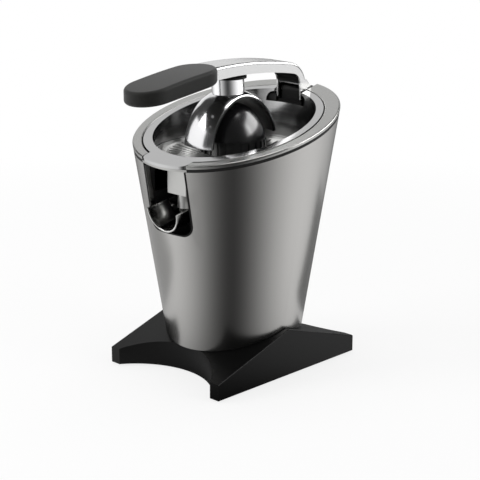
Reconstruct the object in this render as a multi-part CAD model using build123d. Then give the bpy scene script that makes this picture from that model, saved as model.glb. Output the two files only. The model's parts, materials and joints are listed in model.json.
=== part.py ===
from build123d import *
import os
from math import acos, atan2, cos, pi, radians, sin, sqrt, tan

# Electric citrus juicer with a press lever. Millimetres, +Z up, front at -Y.
# The pieces are drawn about the drive axis, from the surface that the feet stand on.
# FRAME_Y then moves them all, so that the origin is under the middle of the whole juicer.
FRAME_Y = 13.25

# Heights, each built up from the piece below it
STAND_RIDGE_Z = 46.0
MOTOR_LIFT = 7.5        # stand's ridge to the motor's lower bracket
MOTOR_H = 74.5          # motor's lower bracket to the gearbox
DECK_RISE = 46.0        # gearbox to the top of the deck
BOWL_LIFT = 10.0        # deck to the bowl's floor
SUMP_H = 19.0           # bowl's floor to its ledge
RIM_LIFT = 21.8         # bowl's ledge to the rim plane, on the drive axis
PIN_LIFT = 25.2         # rim plane to the hinge pin
LOW_PLATE_Z = STAND_RIDGE_Z + MOTOR_LIFT
CASE_Z = LOW_PLATE_Z + MOTOR_H
DECK_Z = CASE_Z + DECK_RISE
BOWL_FLOOR_Z = DECK_Z + BOWL_LIFT
BOWL_LEDGE_Z = BOWL_FLOOR_Z + SUMP_H
RIM_Z = BOWL_LEDGE_Z + RIM_LIFT
PIN_Z = RIM_Z + PIN_LIFT
CONE_TOP = 1.2 * PIN_Z  # the cone is drawn up to here before the rim cuts it

# Radii, each built up from the piece inside it
BOWL_TOP_R = 76.7
BOWL_WALL = 1.2
FLANGE_W = 6.3          # bowl's inside to its flange's edge
RING_GAP = 1.0          # flange to the top ring
RING_BAND = 11.0184     # ring's bore to the body cone, at the rim plane's height on the drive axis
WELL_GAP = 1.3          # bowl to the housing's well
FLANGE_R = BOWL_TOP_R + FLANGE_W
RING_R = FLANGE_R + RING_GAP
WELL_R = BOWL_TOP_R + BOWL_WALL + WELL_GAP
PIN_Y = RING_R          # the hinge pin lies under the ring's bore

# Body cone and its slanted rim
CONE_R0 = 59.5          # cone radius at the floor
CONE_TAPER = (RING_R + RING_BAND - CONE_R0) / RIM_Z
RIM_TILT = 14.467       # degrees, rising towards the rear
RIM_RISE = tan(radians(RIM_TILT))
SLEEVE_WALL = 1.2
SLEEVE_GAP = 0.3        # between the sleeve and the inner housing
HOUSING_WALL = 2.5
BIG = 600.0             # reach of the cutting blocks, past every face

# Base stand
STAND_HALF_X = 72.0
STAND_HALF_Y = 92.0
STAND_CORNER_Z = 17.0
STAND_WALL = 3.0
STAND_LIFT = 1.5        # the skirt's height above the floor
BAY_R = 73.0            # radius of the concave front and rear
BAY_INSET = 0.5         # its depth inside the cone's foot
BAY_Y = CONE_R0 - BAY_INSET + BAY_R
STAND_EDGE_R = 1.2
ROOF_HOLE_R = 30.0
COVER_T = 2.0
COVER_GAP = 0.3
FOOT_R = 5.0
FOOT_H = 2.0
FOOT_X = STAND_HALF_X - 9.5
FOOT_Y = STAND_HALF_Y - 16.0
COVER_SCREW_X = STAND_HALF_X - 14.0
COVER_SCREW_Y = STAND_HALF_Y - 34.0
VENT_COUNT = 9
VENT_PITCH = 6.0
VENT_W = 2.6
VENT_LEN = 44.0
LIP_T = 0.9             # housing lip that the sleeve stands on
LIP_INSET = 0.4
HOUSING_FLANGE_T = 3.0
HOUSING_FLANGE_R = CONE_R0 - 15.5
HOUSING_SCREW_R = CONE_R0 - 8.5

# Screws
SCREW_R = 1.5
SCREW_HEAD_R = 3.0
SCREW_HEAD_T = 1.3
SCREW_CLEAR = 0.05
BOSS_R = 4.0

# Cord gland and terminal block
GLAND_BORE_R = 3.6
GLAND_R = 6.0
GLAND_FLANGE_R = 8.5
GLAND_FLANGE_T = 3.0
GLAND_IN = 12.0
GLAND_Z = 13.0
FIT_GAP = 0.05
TERMINAL_SIZE = (24.0, 12.0, 9.0)
TERMINAL_Y = 26.0

# Deck, bowl well and spout bay of the inner housing
DECK_T = 3.0
WELL_WALL = 2.0
LEDGE_T = 2.5
NOTCH_HALF = 27.5
NOTCH_Z = DECK_Z - 34.0
NOTCH_CORNER_R = 12.0
BEZEL_WALL = 1.5
BEZEL_PROUD = 0.4
BEZEL_GAP = 0.1
BAY_WALL = 2.0

# Gasket and top ring, measured upward from the rim plane
GASKET_T = 3.0
GASKET_INSET = 0.4
GASKET_W = 5.1
RING_TOP = 6.2
RING_LEG_W = 2.0
RING_SEAT_GAP = 0.3
RING_WEB_TOP = 2.6
RING_EDGE_R = 1.4
RING_SLOT_HALF = 17.0

# Juice bowl
BOWL_LEDGE_R = BOWL_TOP_R - 3.0
SUMP_R = BOWL_LEDGE_R - 8.5
SUMP_FLOOR_R = SUMP_R - 3.0
BOWL_TOP_Z = PIN_Z + 5.0
FLANGE_TOP = 6.1
FLANGE_T = 1.5
FLANGE_SKIRT_W = 1.5
LIP_HALF = 28.0
LIP_GAP = 0.5
LIP_LOW = 3.2
LIP_PROUD = 1.0
LIP_CORNER_R = 8.0
CHIMNEY_R = 12.0
CHIMNEY_Z = BOWL_LEDGE_Z + 5.0
BOWL_FOOT_R = SUMP_FLOOR_R - 3.5
CHUTE_HALF = 13.0
CHUTE_EDGE_R = 1.5
CHUTE_FRONT_Y = 1.2 - BOWL_LEDGE_R
CHUTE_BACK_Y = 13.2 - SUMP_R
CHUTE_Z = DECK_Z + 1.0
CHUTE_TOP_Z = BOWL_LEDGE_Z - 3.0
NOZZLE_R = 7.5
NOZZLE_BORE_R = 6.0
NOZZLE_Y = 4.2 - SUMP_R
NOZZLE_Z = DECK_Z - 12.5
BAY_BACK_Y = CHUTE_BACK_Y + 4.0
CUTOUT_GAP = 0.6
CUTOUT_Z = PIN_Z - 12.0
CUTOUT_ROUND_R = 8.0

# Strainer
STRAINER_T = 1.2
STRAINER_RIM_R = BOWL_LEDGE_R - 0.7
STRAINER_CONE_R = SUMP_R - 1.5
STRAINER_DISH_R = 30.0
STRAINER_DISH_Z = BOWL_LEDGE_Z - 7.0
STRAINER_COLLAR_Z = BOWL_LEDGE_Z + 1.0
STRAINER_COLLAR_GAP = 2.5
STRAINER_SLOTS = 44
STRAINER_SLOT_W = 1.8
STRAINER_SLOT_IN = 34.0
STRAINER_SLOT_OUT = STRAINER_CONE_R - 2.5

# Reamer
REAMER_R = 29.5
REAMER_Z = BOWL_LEDGE_Z + 1.0
REAMER_SKIRT_Z = REAMER_Z + 13.0
REAMER_SHOULDER = (26.0, REAMER_Z + 26.5)
REAMER_CROWN = (17.6, REAMER_Z + 37.7)
REAMER_TIP_Z = REAMER_Z + 45.0
REAMER_WALL = 3.0
REAMER_HUB_R = 9.0
REAMER_RIBS = 24
REAMER_RIB_W = 1.6
REAMER_RIB_OUT = 1.2

# Press dome, neck and collar; heights along the leaning dome axis
DOME_BASE = (0.0, -3.5, REAMER_Z + 12.7)
DOME_LEAN = 3.8
DOME_R = 45.8
DOME_SHOULDER = (40.3, 18.0)
DOME_CROWN = (29.0, 33.5)
DOME_BROW = (22.6, 38.8)
DOME_TOP = (15.5, 43.0)
DOME_WALL = 3.0
DOME_HALF = 18.0
DOME_EDGE = 0.6
NECK_R = 15.0
COLLAR_R = 17.5
COLLAR_T = 1.8
COLLAR_GAP = 0.4
SPIGOT_R = 8.0
BOLT_R = 3.0
BOLT_HEAD_R = 6.0
BOLT_HEAD_T = 3.0

# Lever arm, drawn as (y, z)
ARM_HALF = 15.5
ARM_WALL = 1.8
ARM_FRONT = (-45.0, PIN_Z + 36.7)
ARM_TOP = (0.0, PIN_Z + 37.4)
ARM_SHOULDER = (PIN_Y - 22.0, PIN_Z + 30.6)
ARM_BEND = (PIN_Y - 6.4, PIN_Z + 21.6)
ARM_HEEL = (PIN_Y - 0.5, PIN_Z + 6.0)
ARM_TOE_Y = PIN_Y - 9.2
ARM_KNEE = (PIN_Y - 11.4, PIN_Z + 15.0)
ARM_CROOK = (PIN_Y - 19.0, PIN_Z + 19.6)
ARM_BELLY = (15.0, PIN_Z + 25.9)
ARM_FRONT_LOW_Z = PIN_Z + 24.8
ARM_EDGE_R = 2.6
LINER_GAP = 0.1
LINER_RISE = 1.0
LINER_FOOT_Z = PIN_Z + 8.5
TANG_HALF = 11.0
TANG_DROP = 9.4
TANG_T = 6.5

# Hinge
PIN_R = 3.0
RUN_GAP = 0.05
CHEEK_R = 7.2
CHEEK_LOW = 7.0
BRACKET_HALF = 12.0
BRACKET_R = 5.5
BRACKET_BASE_T = 4.0
POCKET_HALF = 18.0
POCKET_WALL = 2.5
POCKET_Z = PIN_Z - 13.0
POCKET_BACK_Y = PIN_Y + 8.5
POCKET_FRONT_Y = PIN_Y - 18.0

# Grip
GRIP_HALF = 23.0
GRIP_TIP_Y = -125.5
GRIP_REAR_Y = -29.5
GRIP_TOP = (PIN_Z + 38.7, PIN_Z + 33.2, PIN_Z + 23.8)     # at the rear, the middle and the tip
GRIP_LOW = (PIN_Z + 25.4, PIN_Z + 18.1, PIN_Z + 10.7)
GRIP_EDGE_R = 3.2
TANG_TIP_Y = GRIP_TIP_Y + 19.0
GRIP_SCREW_Y = (GRIP_REAR_Y - 31.0, GRIP_TIP_Y + 33.0)

# Drip trough
TROUGH_R = 20.0
TROUGH_WALL = 2.0
TROUGH_LIP_R = 0.95
TROUGH_TILT = 11.2
TROUGH_REAR = (NOZZLE_Y + 5.0, NOTCH_Z + 29.2)     # (y, z) of the pipe axis at its rear end
TROUGH_LEN = 36.0
TROUGH_PIN_Y = NOZZLE_Y + 7.5
TROUGH_PIN_Z = NOTCH_Z + 17.0
TROUGH_PIN_R = 2.0
TROUGH_HUB_R = 3.4
TROUGH_WEIR_Z = TROUGH_PIN_Z - 0.5     # top of its rear end wall
TROUGH_SIDE_GAP = 0.4

# Drive shaft and the press-to-start plunger
SHAFT_R = 4.0
SHAFT_HEX_Z = CHIMNEY_Z - 2.0
SHAFT_TOP_Z = REAMER_Z + 32.0
HEX_GAP = 0.1
SEAL_R = 11.0
SEAL_T = 5.0
PLUNGER_R = 6.0
PLUNGER_Z = CASE_Z + 13.0
PLUNGER_T = 4.0
FINGER_REACH = 17.0
FINGER_W = 4.0
FINGER_T = 2.4
TRAVEL = 2.0
SPRING_WIRE_R = 0.5
SPRING_TURNS = 5
SWITCH_SIZE = (16.0, 7.0, 8.4)
SWITCH_X = -20.0
BUTTON_R = 1.5
BUTTON_GAP = 0.3
BUTTON_IN = 3.0

# Gearbox and gears
CASE_X = 12.0
CASE_Y = 10.0
CASE_R = 47.0
CASE_WALL = 2.5
CASE_FLOOR_T = 3.0
CASE_TOP_Z = DECK_Z - 9.0
LID_T = 3.0
CASE_BOSS_R = 8.0
CASE_BOSS_TOP = CASE_Z + 23.0
BUSH_LEN = 4.0
LID_BOSS_R = 9.0
POST_R = 4.0
POST_ANGLES = (85.0, 155.0, 315.0)
POST_INSET = 6.0
GEAR_MODULE = 1.0
PRESSURE_ANGLE = 25.0
BACKLASH = 0.2
OUTPUT_TEETH = 54
WHEEL_TEETH = 40
PINION_TEETH = 12
OUTPUT_Z = CASE_Z + 26.0
OUTPUT_T = 7.0
WHEEL_Z = CASE_Z + 5.0
WHEEL_T = 7.0
IDLER_TOP_Z = CASE_Z + 34.0
AXLE_R = 2.5
MOTOR_Y = 16.0          # motor axis behind the drive axis

# Motor
MOTOR_SHAFT_R = 3.0
MOTOR_SHAFT_Z = LOW_PLATE_Z - 0.5
MOTOR_SHAFT_TOP = CASE_Z + 13.5
BRACKET_PLATE_R = 37.0
BRACKET_PLATE_T = 3.0
BEARING_R = 9.5
BEARING_T = 5.0
STATOR_Z = LOW_PLATE_Z + 20.5
STATOR_H = 30.0
STATOR_R = 31.0
YOKE_R = 25.0
ROTOR_R = 17.0
AIR_GAP = 0.6
POLE_HALF_ANGLE = 50.0
POLE_ANGLES = (90.0, 270.0)
COIL_ANGLES = (0.0, 180.0)
ROTOR_SLOTS = 12
ROTOR_SLOT_W = 2.0
ROTOR_SLOT_D = 4.0
WINDING_R = 14.0
WINDING_H = 3.5
COMMUTATOR_R = 9.0
COMMUTATOR_H = 9.0
COMMUTATOR_Z = LOW_PLATE_Z + 7.5
COIL_OVERHANG = 4.0
COIL_HALF_ANGLE = 34.0
COIL_GAP = 0.8
FAN_Z = CASE_Z - 18.5
FAN_H = 8.0
FAN_R = 27.0
FAN_BLADES = 11
FAN_BLADE_T = 1.4
MOTOR_BOLT_R = 1.8
MOTOR_BOLT_RING = 33.6
BRUSH_W = 7.0
BRUSH_LEN = 15.0

# Values worked out from the driving ones
ROOF_FALL = (STAND_RIDGE_Z - STAND_CORNER_Z) / STAND_HALF_Y
HOUSING_INSET = SLEEVE_WALL + SLEEVE_GAP
HOUSING_INNER = HOUSING_INSET + HOUSING_WALL
BAY_HALF = NOTCH_HALF - BEZEL_WALL
COVER_Z = FOOT_H
CASE_FLOOR_Z = CASE_Z + CASE_FLOOR_T
LID_Z = CASE_TOP_Z + LID_T
DECK_LOW_Z = DECK_Z - DECK_T
IDLER_DISTANCE = GEAR_MODULE * (OUTPUT_TEETH + PINION_TEETH) / 2
MOTOR_DISTANCE = GEAR_MODULE * (WHEEL_TEETH + PINION_TEETH) / 2
IDLER_Y = (IDLER_DISTANCE**2 - MOTOR_DISTANCE**2 + MOTOR_Y**2) / (2 * MOTOR_Y)
IDLER_X = sqrt(IDLER_DISTANCE**2 - IDLER_Y**2)
GRIP_MID_Y = (GRIP_TIP_Y + GRIP_REAR_Y) / 2
PLUNGER_TOP = PLUNGER_Z + PLUNGER_T
SHAFT_Z = PLUNGER_TOP + FIT_GAP

LOW = (Align.CENTER, Align.CENTER, Align.MIN)
HIGH = (Align.CENTER, Align.CENTER, Align.MAX)


# Shared shapes

def cone_r(z):
    """Radius of the body cone at a height."""
    return CONE_R0 + CONE_TAPER * z


def cone_solid(inset, low=1.0, high=CONE_TOP):
    """The body cone, drawn in by inset."""
    return Pos(0, 0, low) * Cone(cone_r(low) - inset, cone_r(high) - inset, high - low, align=LOW)


def rod(radius, low, high, x=0.0, y=0.0):
    """Upright cylinder between two heights."""
    return Pos(x, y, low) * Cylinder(radius, high - low, align=LOW)


def tube(outer, inner, low, high, x=0.0, y=0.0):
    """Upright tube between two heights."""
    return rod(outer, low, high, x, y) - rod(inner, low, high, x, y)


def cross_rod(radius, half, y, z):
    """Cylinder along X, centred on the mid plane."""
    return Pos(0, y, z) * Rot(0, 90, 0) * Cylinder(radius, 2 * half)


def block(x0, x1, y0, y1, z0, z1):
    """Box between two corners."""
    return Pos((x0 + x1) / 2, (y0 + y1) / 2, (z0 + z1) / 2) * Box(x1 - x0, y1 - y0, z1 - z0)


def rim_slab(low, high):
    """Slab parallel to the slanted rim, between two heights above it."""
    thick = (high - low) * cos(radians(RIM_TILT))
    return Pos(0, 0, RIM_Z + low) * Rot(RIM_TILT, 0, 0) * Box(BIG, BIG, thick, align=LOW)


def below_rim(lift):
    """Everything below the rim plane raised by lift."""
    return Pos(0, 0, RIM_Z + lift) * Rot(RIM_TILT, 0, 0) * Box(BIG, BIG, BIG, align=HIGH)


def side_prism(outline, half):
    """Solid of an outline drawn as (y, z), reaching half to each side of the mid plane."""
    return extrude(Plane.YZ * make_face(outline), half, both=True)


def turned(outline):
    """Solid of revolution about Z of an outline drawn as (radius, z)."""
    return revolve(Plane.XZ * make_face(outline), Axis.Z)


def roof_z(y, lift=0.0):
    """Height of the stand's tent-shaped roof."""
    return STAND_RIDGE_Z - ROOF_FALL * abs(y) + lift


def under_roof(lift, low):
    """Everything under the stand's roof raised by lift."""
    edge = 2 * STAND_HALF_Y
    points = [(-edge, low - edge), (-edge, roof_z(edge, lift)), (0, roof_z(0, lift))]
    points += [(edge, roof_z(edge, lift)), (edge, low - edge)]
    return side_prism(Polyline(*points, close=True), BIG / 2)


def notch_prism(half, bottom, corner):
    """Front notch: open at the top, with round lower corners."""
    height = CONE_TOP - bottom
    outline = Pos(0, bottom + height / 2) * Rectangle(2 * half, height)
    outline = fillet(outline.vertices().sort_by(Axis.Y)[:2], corner)
    return Pos(0, BAY_BACK_Y, 0) * extrude(Plane.XZ * outline, BIG / 2)


def screw(length):
    """Pan-head screw with its head's seat at z = 0 and its shank going up."""
    head = Pos(0, 0, -SCREW_HEAD_T) * Cylinder(SCREW_HEAD_R, SCREW_HEAD_T, align=LOW)
    socket = Pos(0, 0, -SCREW_HEAD_T) * Box(3.2, 0.8, 0.7, align=LOW)
    return head - socket - Rot(0, 0, 90) * socket + Cylinder(SCREW_R, length, align=LOW)


def group(solids):
    """Several separate solids as one node."""
    return Compound([solid for shape in solids for solid in shape.solids()])


def corners(x, y):
    """The four points mirrored about both mid planes."""
    return [(sx * x, sy * y) for sx in (-1, 1) for sy in (-1, 1)]


# Stand

def stand_plan(inset, low, high):
    """Stand's plan with its concave front and rear, between two heights."""
    plan = Rectangle(2 * (STAND_HALF_X - inset), 2 * (STAND_HALF_Y - inset))
    for side in (-1, 1):
        plan -= Pos(0, side * BAY_Y) * Circle(BAY_R + inset)
    return Pos(0, 0, low) * extrude(plan, high - low)


def make_base_stand():
    shell = stand_plan(0, STAND_LIFT, STAND_RIDGE_Z + 1) & under_roof(0, STAND_LIFT)
    side_edges = [e for e in shell.edges() if abs(e.center().X) > 0.9 * STAND_HALF_X]
    ridge_edges = [e for e in side_edges if e.center().Z > STAND_CORNER_Z + 1]
    shell = fillet(ShapeList(ridge_edges).filter_by(lambda e: abs(e.tangent_at(0.5).X) < 0.1), STAND_EDGE_R)
    shell -= stand_plan(STAND_WALL, 0, STAND_RIDGE_Z) & under_roof(-STAND_WALL, 0)
    for x, y in corners(COVER_SCREW_X, COVER_SCREW_Y):
        boss = rod(BOSS_R, COVER_Z + COVER_T, roof_z(y) - STAND_WALL + 1, x, y)
        shell += boss
        shell -= rod(SCREW_R + SCREW_CLEAR, 0, roof_z(y) - 2 * STAND_WALL, x, y)
    for x, y in housing_screw_places():
        shell -= rod(SCREW_R + SCREW_CLEAR, 0, BIG, x, y)
    shell -= rod(ROOF_HOLE_R, STAND_LIFT, BIG)
    return shell - gland_hole()


def gland_hole():
    """Cord hole through the stand's rear wall."""
    back = BAY_Y - BAY_R
    return Pos(0, back, GLAND_Z) * Rot(90, 0, 0) * Cylinder(GLAND_R + FIT_GAP, 4 * STAND_WALL)


def make_bottom_cover():
    cover = stand_plan(STAND_WALL + COVER_GAP, COVER_Z, COVER_Z + COVER_T)
    for i in range(VENT_COUNT):
        x = (i - (VENT_COUNT - 1) / 2) * VENT_PITCH
        cover -= Pos(x, 0, COVER_Z) * Box(VENT_W, VENT_LEN, 4 * COVER_T)
    for x, y in corners(COVER_SCREW_X, COVER_SCREW_Y):
        cover -= rod(SCREW_R + SCREW_CLEAR, 0, BIG, x, y)
    return cover


def make_rubber_feet():
    foot = Cylinder(FOOT_R, FOOT_H, align=LOW)
    foot = chamfer(foot.edges().group_by(Axis.Z)[0], 0.5)
    return group(Pos(x, y, 0) * foot for x, y in corners(FOOT_X, FOOT_Y))


def make_cover_screws():
    reach = roof_z(COVER_SCREW_Y) - 3 * STAND_WALL - COVER_Z
    return group(Pos(x, y, COVER_Z) * screw(reach) for x, y in corners(COVER_SCREW_X, COVER_SCREW_Y))


def make_cord_gland():
    back = BAY_Y - BAY_R
    turn = Rot(-90, 0, 0)
    gland = Pos(0, back - GLAND_IN, GLAND_Z) * turn * Cylinder(GLAND_R, GLAND_IN + 1, align=LOW)
    flange = Pos(0, back, GLAND_Z) * turn * Cylinder(GLAND_FLANGE_R, GLAND_FLANGE_T, align=LOW)
    flange = fillet(flange.edges().group_by(Axis.Y)[-1], GLAND_FLANGE_T / 3)
    gland += flange - stand_plan(-FIT_GAP, 0, STAND_RIDGE_Z)
    reach = GLAND_IN + 2 * GLAND_FLANGE_T
    return gland - Pos(0, back - GLAND_IN, GLAND_Z) * turn * Cylinder(GLAND_BORE_R, 2 * reach)


def make_terminal_block():
    length, depth, height = TERMINAL_SIZE
    body = Pos(0, TERMINAL_Y, COVER_Z + COVER_T) * Box(length, depth, height, align=LOW)
    body = fillet(body.edges().group_by(Axis.Z)[-1], 0.8)
    for i in (-1, 0, 1):
        x = i * length / 3
        body -= Pos(x, TERMINAL_Y, COVER_Z + COVER_T + height / 2) * Rot(90, 0, 0) * Cylinder(1.6, 2 * depth)
        body -= rod(2.0, COVER_Z + COVER_T + height - 2, BIG, x, TERMINAL_Y)
    return body


# Housing

def housing_screw_places():
    """Four places where the housing's foot flange is screwed to the stand."""
    angles = [radians(a) for a in (40, 140, 220, 320)]
    return [(HOUSING_SCREW_R * cos(a), HOUSING_SCREW_R * sin(a)) for a in angles]


def make_steel_sleeve():
    sleeve = cone_solid(0) - cone_solid(SLEEVE_WALL)
    sleeve &= below_rim(0)
    sleeve -= under_roof(LIP_T, 0)
    return sleeve - notch_prism(NOTCH_HALF, NOTCH_Z, NOTCH_CORNER_R)


def well_zone():
    """Room inside the housing's wall from the deck upward, which the bowl well fills."""
    return cone_solid(HOUSING_INNER) & block(-BIG, BIG, -BIG, BIG, DECK_LOW_Z, BIG)


def housing_body():
    """Housing and bowl well in one, before they are parted."""
    body = cone_solid(HOUSING_INSET) & below_rim(0)
    body -= under_roof(0, 0)
    core = cone_solid(HOUSING_INNER) & below_rim(0)
    deck = core & block(-BIG, BIG, -BIG, BIG, DECK_LOW_Z, DECK_Z)
    well = (rod(WELL_R + WELL_WALL, DECK_Z - 1, BIG) - rod(WELL_R, DECK_Z - 1, BIG)) & core
    ledge = (cone_solid(HOUSING_INSET) & rim_slab(-LEDGE_T, 0)) - rod(WELL_R, 0, BIG)
    flange = (core & under_roof(HOUSING_FLANGE_T, 0)) - under_roof(0, 0) - rod(HOUSING_FLANGE_R, 0, BIG)
    lip = (cone_solid(LIP_INSET) & under_roof(LIP_T, 0)) - under_roof(0, 0) - cone_solid(HOUSING_INNER)
    outer_half = BAY_HALF + BAY_WALL
    bay = block(-outer_half, outer_half, -BIG, BAY_BACK_Y + BAY_WALL, NOTCH_Z - BAY_WALL, DECK_Z)
    bay += block(-outer_half, outer_half, -BIG, -WELL_R * 0.5, DECK_Z, BIG) - rod(WELL_R, DECK_Z, BIG)
    pocket = block(-POCKET_HALF - POCKET_WALL, POCKET_HALF + POCKET_WALL, POCKET_FRONT_Y,
                   POCKET_BACK_Y + POCKET_WALL, POCKET_Z - POCKET_WALL, BIG) - rod(WELL_R, 0, BIG)
    housing = body - core + deck + well + ledge + flange + lip + (bay & core) + (pocket & core)
    housing -= notch_prism(BAY_HALF, NOTCH_Z, NOTCH_CORNER_R - BEZEL_WALL)
    housing -= block(-POCKET_HALF, POCKET_HALF, POCKET_FRONT_Y, POCKET_BACK_Y, POCKET_Z, BIG)
    housing -= rod(SEAL_R + FIT_GAP, DECK_LOW_Z - 1, DECK_Z + 1)
    housing -= cross_rod(TROUGH_PIN_R + FIT_GAP, BAY_HALF + 2 * BAY_WALL, TROUGH_PIN_Y, TROUGH_PIN_Z)
    for x, y in housing_screw_places():
        housing -= rod(SCREW_R + SCREW_CLEAR, 0, roof_z(y, HOUSING_FLANGE_T + 4), x, y)
    for x, y in post_places():
        housing -= rod(SCREW_R + SCREW_CLEAR, DECK_LOW_Z - 1, DECK_Z + 1, x, y)
    for x in hinge_screw_places():
        housing -= rod(SCREW_R + SCREW_CLEAR, POCKET_Z - 2 * POCKET_WALL, POCKET_Z + 1, x, PIN_Y)
    return housing


def make_inner_housing(body):
    return body - well_zone()


def make_bowl_well(body):
    return body & well_zone()


def make_housing_screws():
    screws = []
    for x, y in housing_screw_places():
        seat = roof_z(y) - STAND_WALL - ROOF_FALL * SCREW_HEAD_R
        screws.append(Pos(x, y, seat) * screw(HOUSING_FLANGE_T + STAND_WALL))
    return group(screws)


def make_notch_bezel():
    outer = notch_prism(NOTCH_HALF - BEZEL_GAP, NOTCH_Z, NOTCH_CORNER_R)
    outer -= notch_prism(BAY_HALF, NOTCH_Z + BEZEL_WALL, NOTCH_CORNER_R - BEZEL_WALL)
    wall = cone_solid(-BEZEL_PROUD) - cone_solid(HOUSING_INSET - BEZEL_GAP)
    bezel = outer & wall & below_rim(0)
    return bezel - block(-BIG, BIG, -BIG, BIG, 0, NOTCH_Z + BEZEL_GAP)


def make_top_gasket():
    band = cone_solid(GASKET_INSET) - cone_solid(GASKET_INSET + GASKET_W)
    half = LIP_HALF + LIP_GAP
    slot = block(-RING_SLOT_HALF, RING_SLOT_HALF, 0, BIG, 0, BIG) & cone_solid(GASKET_INSET + GASKET_W / 2)
    return (band & rim_slab(0, GASKET_T)) - slot - block(-half, half, -BIG, 0, 0, BIG)


def make_top_ring():
    half = LIP_HALF + LIP_GAP
    front = block(-half, half, -2 * RING_R, -RING_R / 2, RIM_Z / 2, BIG / 2)
    slot = block(-RING_SLOT_HALF, RING_SLOT_HALF, RING_R / 2, 2 * RING_R, RIM_Z / 2, BIG / 2)
    ring = (cone_solid(0) - rod(RING_R, 0, BIG)) & rim_slab(GASKET_T, RING_TOP)
    up = Vector(0, -sin(radians(RIM_TILT)), cos(radians(RIM_TILT)))
    top = [f for f in ring.faces() if f.normal_at().dot(up) > 0.99][0]
    ring = fillet(top.edges(), RING_EDGE_R) - front - slot
    leg = tube(RING_R + RING_LEG_W, RING_R, 0, BIG) & rim_slab(RING_SEAT_GAP, GASKET_T)
    web = (cone_solid(0) - rod(RING_R, 0, BIG)) & rim_slab(RING_SEAT_GAP, RING_WEB_TOP)
    return ring + (leg - front - slot) + (web & front)


# Bowl, strainer and reamer

def bowl_outline(grow):
    """Bowl's profile grown outward by a wall, open at the top."""
    points = [(0, BOWL_FLOOR_Z - grow), (SUMP_FLOOR_R + grow / 2, BOWL_FLOOR_Z - grow)]
    points += [(SUMP_R + grow, BOWL_FLOOR_Z + 5 - grow / 2), (SUMP_R + grow, BOWL_LEDGE_Z - grow)]
    points += [(BOWL_LEDGE_R + grow, BOWL_LEDGE_Z - grow), (BOWL_TOP_R + grow, BOWL_TOP_Z)]
    points += [(0, BOWL_TOP_Z)]
    return Polyline(*points, close=True)


def bowl_lip():
    """Front lip that bridges the notch, with round corners."""
    plan = Pos(0, -BIG / 2) * Rectangle(2 * LIP_HALF, BIG)
    lip = extrude(plan, BIG) & cone_solid(-LIP_PROUD) & rim_slab(LIP_LOW, FLANGE_TOP)
    upright = lip.edges().filter_by(lambda e: e.center().Y < -0.8 * RING_R and abs(e.tangent_at(0.5).Z) > 0.7)
    return fillet(upright, LIP_CORNER_R)


def cutout_prism():
    """Rear window of the bowl's wall: as narrow as the ring's slot at the flange, then rounding out."""
    narrow = RING_SLOT_HALF + CUTOUT_GAP
    wide = narrow + CUTOUT_ROUND_R
    top = RIM_Z + RIM_RISE * BOWL_TOP_R + FLANGE_TOP - 2 * FLANGE_T
    start = top - CUTOUT_ROUND_R
    turn = CUTOUT_ROUND_R * sqrt(0.5)
    lines = [Polyline((-wide, start), (-wide, CUTOUT_Z), (wide, CUTOUT_Z), (wide, start))]
    lines += [Polyline((narrow, top), (narrow, BIG), (-narrow, BIG), (-narrow, top))]
    for side in (-1, 1):
        middle = (side * (narrow + turn), start + turn)
        lines += [ThreePointArc((side * wide, start), middle, (side * narrow, top))]
    face = make_face(lines)
    return Pos(0, 2 * BOWL_TOP_R, 0) * extrude(Plane.XZ * face, 1.3 * BOWL_TOP_R)


def chute_box(low):
    """Outside of the chute under the bowl's front, from a height upward."""
    return block(-CHUTE_HALF, CHUTE_HALF, CHUTE_FRONT_Y, CHUTE_BACK_Y, low, CHUTE_TOP_Z)


def juice_way():
    """Way of the juice from the sump through the chute and the nozzle."""
    half = CHUTE_HALF - BOWL_WALL
    front = CHUTE_FRONT_Y + BOWL_WALL
    top = CHUTE_TOP_Z - BOWL_WALL
    way = block(-half, half, front, NOZZLE_Y + NOZZLE_BORE_R, CHUTE_Z + BOWL_WALL, top)
    return way + rod(NOZZLE_BORE_R, NOZZLE_Z - 1, BOWL_FLOOR_Z, 0, NOZZLE_Y)


def make_juice_spout():
    box = chute_box(CHUTE_Z)
    box = fillet(box.edges().filter_by(Axis.Z).group_by(Axis.Y)[0], CHUTE_EDGE_R)
    spout = box + rod(NOZZLE_R, NOZZLE_Z, CHUTE_Z, 0, NOZZLE_Y)
    return spout - turned(bowl_outline(BOWL_WALL)) - juice_way()


def make_juice_bowl():
    inside = turned(bowl_outline(0))
    bowl = turned(bowl_outline(BOWL_WALL)) & below_rim(FLANGE_TOP)
    bowl += rod(FLANGE_R, 0, BIG) & rim_slab(FLANGE_TOP - FLANGE_T, FLANGE_TOP)
    bowl += tube(FLANGE_R, FLANGE_R - FLANGE_SKIRT_W, 0, BIG) & rim_slab(RING_SEAT_GAP, FLANGE_TOP - FLANGE_T)
    bowl += bowl_lip()
    bowl += tube(BOWL_FOOT_R + BOWL_WALL, BOWL_FOOT_R, DECK_Z, BOWL_FLOOR_Z - BOWL_WALL) - chute_box(DECK_Z)
    bowl = bowl - inside - juice_way()
    bowl += tube(CHIMNEY_R + BOWL_WALL, CHIMNEY_R, BOWL_FLOOR_Z - BOWL_WALL, CHIMNEY_Z)
    bowl -= rod(CHIMNEY_R, BOWL_FLOOR_Z - 2 * BOWL_WALL, CHIMNEY_Z)
    return bowl - cutout_prism()


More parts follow.
